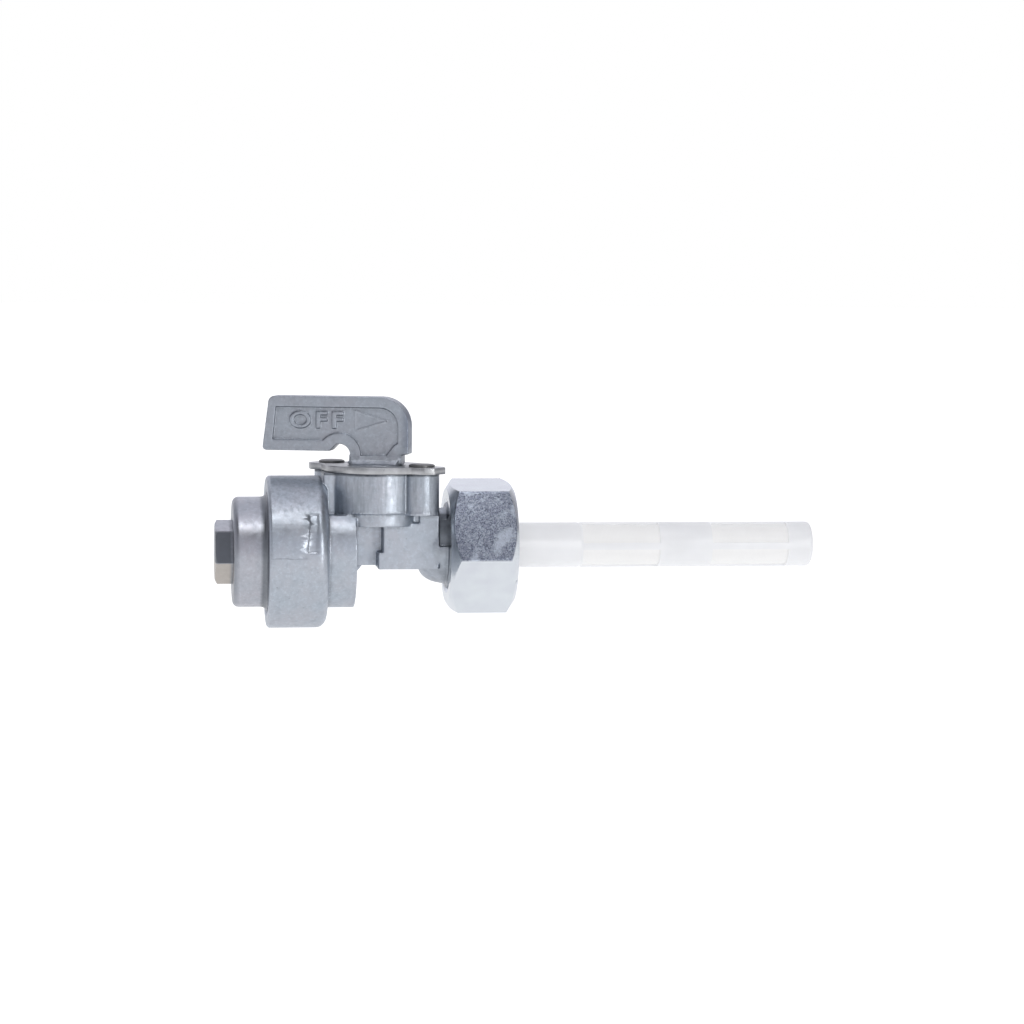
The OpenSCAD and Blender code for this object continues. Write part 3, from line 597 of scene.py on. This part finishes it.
# Lever: a second zinc casting, rotor, hub and paddle in one. The paddle has a raised rim round a
# sunk panel, where the die leaves the word for the closed tap and an arrow standing proud.
LEVER_TURN = math.radians(-15.5)
PANEL_FACE = 1.6 * MM
MARK_HEIGHT = 0.3 * MM
WORD_LEFT, WORD_RIGHT = -15.4 * MM, -5.65 * MM
WORD_LOW, WORD_HIGH = 20.9 * MM, 23.9 * MM
ARROW_LEFT, ARROW_RIGHT = -3.5 * MM, 2.2 * MM
ARROW_LOW, ARROW_HIGH = 20.55 * MM, 24.1 * MM
ARROW_LINE = 0.75 * MM


def on_paddle():
    """From a drawing in XY, seen from its +Z side, to the front of the turned paddle."""
    turned = Matrix.Translation((SPINDLE_X, 0, 0)) @ Matrix.Rotation(LEVER_TURN, 4, "Z")
    return turned @ Matrix.Translation((0, -PANEL_FACE, 0)) @ Matrix.Rotation(math.pi / 2, 4, "X")


word_curve = bpy.data.curves.new("word", "FONT")
word_curve.body = "OFF"
word_curve.size = 4 * MM
word_curve.extrude = MARK_HEIGHT
word_curve.offset = 0.1 * MM
word_curve.space_character = 1.25
word_curve.resolution_u = 6
word = bpy.data.objects.new("word", word_curve)
bpy.context.scene.collection.objects.link(word)
graph = bpy.context.evaluated_depsgraph_get()
word_mesh = bpy.data.meshes.new_from_object(word.evaluated_get(graph))
bpy.data.objects.remove(word)
bpy.data.curves.remove(word_curve)
letters = bmesh.new()
letters.from_mesh(word_mesh)
bpy.data.meshes.remove(word_mesh)
bmesh.ops.remove_doubles(letters, verts=letters.verts, dist=0.01 * MM)
left = min(vertex.co.x for vertex in letters.verts)
right = max(vertex.co.x for vertex in letters.verts)
foot = min(vertex.co.y for vertex in letters.verts)
head = max(vertex.co.y for vertex in letters.verts)
wide = (WORD_RIGHT - WORD_LEFT) / (right - left)
tall = (WORD_HIGH - WORD_LOW) / (head - foot)
bmesh.ops.translate(letters, verts=letters.verts, vec=(-left, -foot, 0))
bmesh.ops.scale(letters, verts=letters.verts, vec=(wide, tall, 1))
bmesh.ops.translate(letters, verts=letters.verts, vec=(WORD_LEFT, WORD_LOW, 0))

arrow = bmesh.new()
tips = [(ARROW_LEFT, ARROW_LOW), (ARROW_RIGHT, (ARROW_LOW + ARROW_HIGH) / 2), (ARROW_LEFT, ARROW_HIGH)]
arrow_face = arrow.faces.new([arrow.verts.new((x, y, -MARK_HEIGHT)) for x, y in tips])
bmesh.ops.inset_region(arrow, faces=[arrow_face], thickness=ARROW_LINE, use_boundary=True)
bmesh.ops.delete(arrow, geom=[arrow_face], context="FACES_ONLY")
border = arrow.faces[:]
raised = bmesh.ops.extrude_face_region(arrow, geom=border)
raised = [part for part in raised["geom"] if isinstance(part, bmesh.types.BMVert)]
bmesh.ops.translate(arrow, verts=raised, vec=(0, 0, 2 * MARK_HEIGHT))
bmesh.ops.recalc_face_normals(arrow, faces=arrow.faces)

lever_shape = merged_copy("lever")
for mark in (letters, arrow):
    bmesh.ops.transform(mark, matrix=on_paddle(), verts=mark.verts)
    mark_mesh = mesh_from(mark, "mark")
    lever_shape.from_mesh(mark_mesh)
    bpy.data.meshes.remove(mark_mesh)

CHAMBER_TOP = 13.2 * MM
ROTOR_EASE = 0.07 * MM
LEVER_VOXEL, LEVER_KEPT = 0.12 * MM, 0.42


def rotor_ease(place):
    """The rotor is a hair slimmer inside the chamber, so that it turns free of the cast walls."""
    return -ROTOR_EASE if place.z < CHAMBER_TOP else 0


lever_mesh = worn_casting(lever_shape, "lever_casting", LEVER_VOXEL, LEVER_KEPT, rotor_ease)

HUB_TOP, PADDLE_FOOT = 15.5 * MM, 18 * MM
EDGE_SHADE_FROM, EDGE_SHADE_TO = -16.6 * MM, -15.2 * MM
EDGE_SHADE_LOW = 16.5 * MM
EDGE_SHADE_COLOUR = (0.17, 0.2, 0.26)


def lever_marks(nodes, links, base, layers):
    """Grime low on the hub and painted shade on the paddle's rounded end, which turns away from the light.
    """
    patchy_darkening = grain_noise(nodes, links, 1.3, 5)
    low_part = spread(nodes, links, part_of(nodes, links, "Z"), 1, 0, HUB_TOP, PADDLE_FOOT)
    patchy_darkening = product(nodes, links, spread(nodes, links, patchy_darkening, 0, 0.6, 0.45, 0.65), low_part)
    base = mixed(nodes, links, patchy_darkening, base, shaded(ZINC_COLOUR, 0.5))
    # Painted shade on the paddle's rounded end, where it turns away from the light.
    edge = spread(nodes, links, part_of(nodes, links, "X"), 0, 0.7, EDGE_SHADE_FROM, EDGE_SHADE_TO)
    edge = product(nodes, links, edge, spread(
        nodes, links, part_of(nodes, links, "Z"), 0, 1, EDGE_SHADE_LOW, PADDLE_FOOT))
    return mixed(nodes, links, edge, base, EDGE_SHADE_COLOUR), layers


lever_finish = cast_zinc("lever_zinc", (0.375, 0.41, 0.455), (0.385, 0.40, 0.44), 0.4, lever_marks)
lever = piece_from(lever_mesh, lever_finish)
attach(lever, "tap_lever")
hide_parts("lever")


# Wave spring: a closed ring of bright spring strip, bent into waves. It lies between the rotor and
# the plate and presses the rotor on its packing.
def worked_metal(name, colour, roughness, blotches=0.8, lines=(1, 1, 1)):
    """A metal with faint blotches and fine marks, drawn out along the axes given in lines."""
    finish, nodes, links, shader = new_finish(name)
    shader.inputs["Metallic"].default_value = 1.0
    blotch = grain_noise(nodes, links, 0.6, 5)
    marks = grain_noise(nodes, links, 6.0, 4, 0.6, lines)
    base = mixed(nodes, links, spread(nodes, links, blotch, 0, 1), colour, shaded(colour, blotches))
    links.new(base, shader.inputs["Base Color"])
    links.new(spread(nodes, links, marks, roughness - 0.06, roughness + 0.1), shader.inputs["Roughness"])
    relief_of(nodes, links, shader, ((marks, 0.3, 0.008 * MM),))
    return finish


spring_finish = worked_metal("spring_steel", (0.45, 0.46, 0.48), 0.3)
dressed("wave_spring", spring_finish, "tap_body")


# Retaining plate: a stamped steel washer with two ears, its sheared edge bright, that holds the
# rotor down in the chamber.
plate_finish = worked_metal("stamped_steel", (0.52, 0.53, 0.54), 0.32, 0.72, (1, 1, 0.25))
dressed("retaining_plate", plate_finish, "tap_body", 0.15 * MM)


# Plate rivets: two dull steel rivets set through the ears into the casting's bosses, their low
# heads pressed flat. They hold the plate down for good.
rivet_finish = worked_metal("dull_steel", (0.2, 0.2, 0.2), 0.42)
dressed("plate_rivets", rivet_finish, "tap_body", 0.12 * MM)


# Union nut: turned and tapped from hexagon steel and zinc plated. The flat that faces the camera is
# painted dark, a painted reflection under the plating's real speckle, and both mouths show the start of the
# thread.
NUT_BORE_R, NUT_CREST_R = 8.0 * MM, 7.5 * MM
NUT_THREAD_X, NUT_THREAD_TURNS = -2.4 * MM, 3.4
RIDGE_HALF = 0.45 * MM
FLAT_FROM, FLAT_TO = 10.6 * MM, 10.95 * MM
NUT_FLAT_ANGLE = math.radians(23.5)
nut_finish, nodes, links, shader = new_finish("zinc_plate")
shader.inputs["Metallic"].default_value = 1.0
haze = grain_noise(nodes, links, 0.3, 3)
patches = grain_noise(nodes, links, 0.28, 4, 0.55)
frost = grain_noise(nodes, links, 1.9, 6, 0.8)
grit = grain_noise(nodes, links, 4.2, 3, 0.7)
flat_rise = maths(
    nodes, links, "SUBTRACT",
    product(nodes, links, part_of(nodes, links, "Z"), math.sin(NUT_FLAT_ANGLE)),
    product(nodes, links, part_of(nodes, links, "Y"), math.cos(NUT_FLAT_ANGLE)),
)
on_flat = spread(nodes, links, flat_rise, 0, 1, FLAT_FROM, FLAT_TO)
# Painted dark reflection on the flat that faces the camera, with the plating's real speckle and lighter
# patches over it.
tarnish_and_painted_reflection = mixed(nodes, links, spread(nodes, links, frost, 0, 1, 0.42, 0.6), (0.22, 0.24, 0.31),
                (0.46, 0.51, 0.59))
tarnish_and_painted_reflection = mixed(nodes, links, spread(nodes, links, grit, 0, 0.85, 0.5, 0.6), tarnish_and_painted_reflection, (0.08, 0.09, 0.13))
tarnish_and_painted_reflection = mixed(nodes, links, spread(nodes, links, patches, 0, 0.7, 0.55, 0.66), tarnish_and_painted_reflection, (0.6, 0.66, 0.75))
bright = mixed(nodes, links, spread(nodes, links, haze, 0, 1), (0.71, 0.75, 0.78), (0.66, 0.69, 0.735))
links.new(mixed(nodes, links, on_flat, bright, tarnish_and_painted_reflection), shader.inputs["Base Color"])
links.new(spread(nodes, links, on_flat, 0.25, 0.3, 0, 1), shader.inputs["Roughness"])
relief_of(nodes, links, shader, (
    (haze, 0.25, 0.25 * MM), (product(nodes, links, frost, on_flat), 0.45, 0.12 * MM),
    (product(nodes, links, grit, on_flat), 0.3, 0.03 * MM),
))
nut = dressed("union_nut", nut_finish, "joint_nut", 0.32 * MM)
nut_thread = thread_ridge(NUT_THREAD_X, NUT_THREAD_TURNS, NUT_BORE_R, NUT_CREST_R, RIDGE_HALF, 0)
joined(nut.data, nut_thread)
nut.data.set_sharp_from_angle(angle=math.radians(40))


# Strainer cage: one nylon moulding, milky and a little clear, with the flange that the gasket
# seals on, the sleeve, the ribs round two windows, the band between them and the round tip.
SPECK_HALF = 0.35 * MM
SEAM_Z = -2.9 * MM
CAGE_SPECKS = ((50.8, 2.1), (64.8, 3.3), (61.7, -2.9), (28.9, -2.9), (75.2, 3.3), (44.0, 0.8))


def milky_nylon(name, colour, glow, marks=None):
    finish, nodes, links, shader = new_finish(name)
    shader.inputs["Roughness"].default_value = 0.33
    shader.inputs["Subsurface Weight"].default_value = 0.35
    shader.inputs["Subsurface Radius"].default_value = (1, 0.95, 0.9)
    shader.inputs["Subsurface Scale"].default_value = 1.2 * MM
    # The emission is a painted glow that stands in for light passing through the milky nylon.
    shader.inputs["Emission Color"].default_value = (1, 1, 1, 1)
    shader.inputs["Emission Strength"].default_value = glow
    cloud = grain_noise(nodes, links, 0.25, 3)
    fine = grain_noise(nodes, links, 1.6, 3)
    base = mixed(nodes, links, spread(nodes, links, cloud, 0, 1), colour, shaded(colour, 0.95))
    layers = [(cloud, 0.15, 0.1 * MM), (fine, 0.2, 0.01 * MM)]
    if marks:
        base, layers = marks(nodes, links, base, layers)
    links.new(base, shader.inputs["Base Color"])
    relief_of(nodes, links, shader, layers)
    return finish


def cage_marks(nodes, links, base, layers):
    """A few dark specks moulded in, and faint broken lines along the mould's seam."""
    x, y, z = (part_of(nodes, links, axis) for axis in "XYZ")
    facing = spread(nodes, links, y, 1, 0, -1 * MM, 0)
    for along, height in CAGE_SPECKS:
        spot = product(nodes, links, near(nodes, links, x, along * MM, SPECK_HALF),
                      near(nodes, links, z, height * MM, SPECK_HALF))
        spot = spread(nodes, links, spot, 0, 0.55, 0.2, 0.5)
        base = mixed(nodes, links, product(nodes, links, spot, facing), base, (0.42, 0.4, 0.36))
    dashes = spread(nodes, links, grain_noise(nodes, links, 0.35, 2), 0, 1, 0.52, 0.6)
    seam = product(nodes, links, near(nodes, links, z, SEAM_Z, 0.14 * MM), dashes)
    seam = product(nodes, links, seam, 0.25)
    return mixed(nodes, links, seam, base, (0.5, 0.49, 0.45)), layers


cage_finish = milky_nylon("milky_nylon", (0.59, 0.6, 0.615), 0.245, cage_marks)
dressed("strainer_cage", cage_finish, "tap_body", 0.12 * MM)


# Base and tip gauze: two sleeves of fine woven nylon that lie inside the cage, one behind each
# ring of windows, and are moulded into its bands.
WEAVE_PITCH = 0.24 * MM
WEAVE_ROUND = 92


def woven_gauze(name, colour):
    def weave(nodes, links, base, layers):
        x, y, z = (part_of(nodes, links, axis) for axis in "XYZ")
        angle = maths(nodes, links, "ARCTAN2", y, z)
        round_wave = maths(nodes, links, "SINE", product(nodes, links, angle, WEAVE_ROUND), 0)
        along_wave = maths(nodes, links, "SINE", product(
            nodes, links, x, math.tau / WEAVE_PITCH), 0)
        threads = maths(nodes, links, "MAXIMUM", round_wave, along_wave)
        holes = spread(nodes, links, threads, 0.35, 0, -0.6, 0.5)
        return mixed(nodes, links, holes, base, shaded(colour, 0.72)), layers + [(threads, 0.3, 0.05 * MM)]
    return milky_nylon(name, colour, 0.28, weave)


gauze_finish = woven_gauze("nylon_gauze", (0.6, 0.6, 0.595))
dressed("base_gauze", gauze_finish, "tap_body")
dressed("tip_gauze", gauze_finish, "tap_body")


# Inlet gasket: a rubber washer, cut from sheet, on the strainer's flange. The nut draws it against
# the tank's outlet.
gasket_rubber = rubber_finish("gasket_rubber", (0.03, 0.03, 0.031), 0.6)
dressed("inlet_gasket", gasket_rubber, "tap_body", 0.1 * MM)


# Sediment bowl: a zinc casting turned where it seals, with a hexagon boss for the spanner, a
# rolled flare against the cup and the thread that screws it in.
BOWL_THREAD_R = 10.94 * MM
BOWL_ROOT_R, BOWL_CREST_R = 10.3 * MM, 10.92 * MM
BOWL_THREAD_X, BOWL_THREAD_TURNS = -38.2 * MM, 2.9
bowl_shape = merged_copy("sediment_bowl")
for vertex in bowl_shape.verts:
    away = Vector((0, vertex.co.y, vertex.co.z - CUP_AXIS_Z))
    if abs(away.length - BOWL_THREAD_R) < 0.02 * MM:
        vertex.co += away.normalized() * (BOWL_ROOT_R - BOWL_THREAD_R)
bmesh.ops.recalc_face_normals(bowl_shape, faces=bowl_shape.faces)
bowl_mesh = modified(mesh_from(bowl_shape, "bowl_casting"), (("BEVEL", {
    "width": 0.3 * MM, "segments": 4, "limit_method": "ANGLE", "angle_limit": math.radians(24),
}),))
bowl_thread = thread_ridge(
    BOWL_THREAD_X, BOWL_THREAD_TURNS, BOWL_ROOT_R, BOWL_CREST_R, RIDGE_HALF, CUP_AXIS_Z)
joined(bowl_mesh, bowl_thread)


HEXAGON_EDGE_LOW, HEXAGON_EDGE_HIGH = -2.49 * MM, 3.08 * MM
HEXAGON_FROM, HEXAGON_TO = -46.6 * MM, -46 * MM
SEAT_X, SHOULDER_X, DARK_HALF = -40.6 * MM, -45.9 * MM, 0.9 * MM
STAIN_COLOUR = (0.47, 0.43, 0.38)


def bowl_marks(nodes, links, base, layers):
    """Fine turning marks, a painted shadow ring at the seat, painted shade at the shoulder and on the
    hexagon's front flat, and a stain on the hexagon.
    """
    x, z = part_of(nodes, links, "X"), part_of(nodes, links, "Z")
    rings = grain_noise(nodes, links, 3.0, 3, 0.5, (1, 0.05, 0.05))
    on_hexagon = spread(nodes, links, x, 1, 0, HEXAGON_FROM, HEXAGON_TO)
    low = spread(nodes, links, z, 1, 0, HEXAGON_EDGE_LOW - 0.2 * MM, HEXAGON_EDGE_LOW)
    stain = product(nodes, links, on_hexagon, low)
    stain = product(nodes, links, stain, 0.8)
    base = mixed(nodes, links, stain, base, STAIN_COLOUR)
    # Painted shade on the hexagon's flat that faces the camera.
    on_hexagon = product(nodes, links, on_hexagon, spread(
        nodes, links, part_of(nodes, links, "Y"), 1, 0, -1 * MM, 0))
    hexagon_front_shade = product(nodes, links, on_hexagon, spread(
        nodes, links, z, 0, 0.9, HEXAGON_EDGE_LOW - 0.2 * MM, HEXAGON_EDGE_LOW + 0.1 * MM))
    hexagon_front_shade = product(nodes, links, hexagon_front_shade, spread(
        nodes, links, z, 1, 0, HEXAGON_EDGE_HIGH - 0.3 * MM, HEXAGON_EDGE_HIGH))
    base = mixed(nodes, links, hexagon_front_shade, base, shaded(ZINC_COLOUR, 0.28))
    # Painted shadow in the gap where the bowl's flare meets the cup.
    seat_shadow = spread(nodes, links, near(nodes, links, x, SEAT_X, DARK_HALF), 0, 0.75, 0, 0.6)
    base = mixed(nodes, links, seat_shadow, base, shaded(ZINC_COLOUR, 0.3))
    # Painted shade on the bowl's rounded shoulder, where it turns away from the light.
    shoulder_shade = product(nodes, links, near(nodes, links, x, SHOULDER_X, DARK_HALF), 0.6)
    return mixed(nodes, links, shoulder_shade, base, shaded(ZINC_COLOUR, 0.45)), layers + [(rings, 0.25, 0.01 * MM)]


bowl_finish = cast_zinc("bowl_zinc", (0.43, 0.455, 0.5), (0.45, 0.45, 0.49), 0.34, bowl_marks)
bowl = piece_from(bowl_mesh, bowl_finish)
bowl.data.set_sharp_from_angle(angle=math.radians(50))
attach(bowl, "bowl")
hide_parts("sediment_bowl")


# Bowl O-ring: a moulded rubber ring between the bowl's rim and the cup's floor, which comes out
# with the bowl.
ring_rubber = rubber_finish("ring_rubber", (0.018, 0.018, 0.02), 0.4)
dressed("bowl_o_ring", ring_rubber, "bowl_seal")


# Bowl screen: a short nylon ring with a disc of brass gauze moulded in, pressed into the cup's
# floor, where the fuel leaves the bowl.
frame_finish = milky_nylon("screen_nylon", (0.74, 0.7, 0.58), 0.02)
dressed("bowl_screen_frame", frame_finish, "tap_body", 0.06 * MM)
BRASS_PITCH = 0.5 * MM
brass_finish, nodes, links, shader = new_finish("brass_gauze")
shader.inputs["Metallic"].default_value = 1.0
shader.inputs["Roughness"].default_value = 0.35
side_wave, height_wave = (
    maths(nodes, links, "SINE", product(
        nodes, links, part_of(nodes, links, axis), math.tau / BRASS_PITCH), 0)
    for axis in "YZ"
)
wires = maths(nodes, links, "MAXIMUM", side_wave, height_wave)
links.new(mixed(nodes, links, spread(nodes, links, wires, 0, 1, -0.4, 0.4), (0.05, 0.04, 0.03),
                (0.62, 0.48, 0.22)), shader.inputs["Base Color"])
relief_of(nodes, links, shader, ((wires, 0.5, 0.1 * MM),))
dressed("bowl_screen_gauze", brass_finish, "tap_body")
